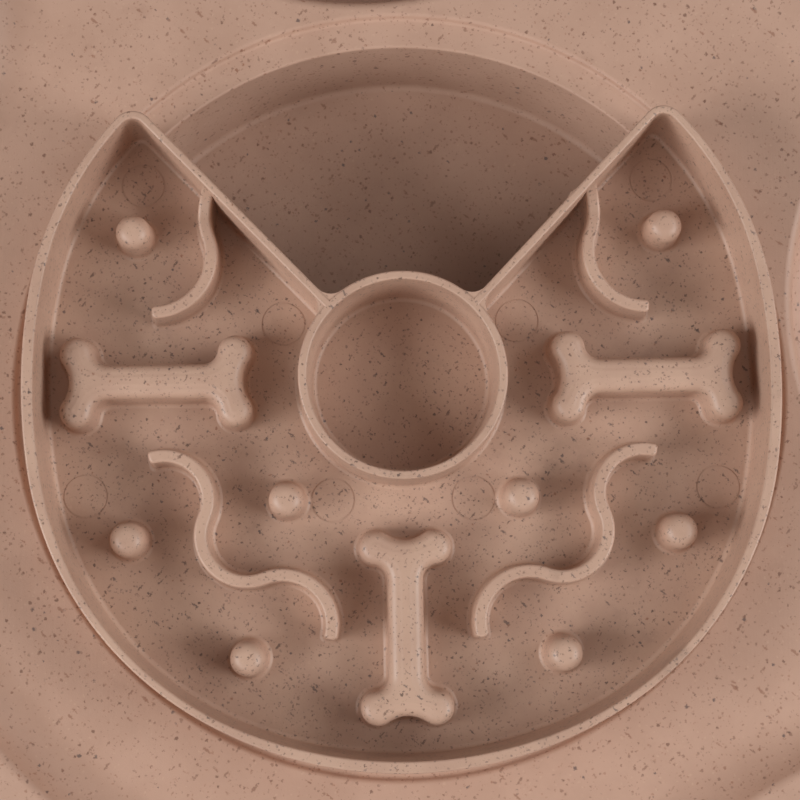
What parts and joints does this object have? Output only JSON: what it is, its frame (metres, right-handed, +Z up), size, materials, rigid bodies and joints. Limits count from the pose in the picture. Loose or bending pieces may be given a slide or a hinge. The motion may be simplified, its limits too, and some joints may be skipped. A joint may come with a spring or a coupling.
{
  "type": "slow feeder bowl",
  "caption": "Clover-shaped pet feeding tray with a lift-out slow feeder maze insert over the front well and two plain rear wells.",
  "frame": {"origin": "centre of the footprint, on the surface that the tray stands on", "axes": "+X along the tray's long side to the right, +Y from the front well towards the two rear wells, +Z up"},
  "size_m": [0.5406, 0.4316, 0.0707],
  "materials": {
    "tray_plastic": "speckled satin",
    "insert_plastic": "speckled satin",
    "foot_rubber": "matte"
  },
  "bodies": {
    "tray_base": {"tray": "tray_plastic", "foot_front_right": "foot_rubber", "foot_front_left": "foot_rubber", "foot_right_side": "foot_rubber", "foot_right_rear": "foot_rubber", "foot_left_side": "foot_rubber", "foot_left_rear": "foot_rubber"},
    "insert": {"slow_feed_insert": "insert_plastic"}
  },
  "joints": [
    {"name": "insert_lift", "type": "slide", "parent": "tray_base", "child": "insert", "axis": [0, 0, 1], "range_m": [0, 0.06]}
  ]
}
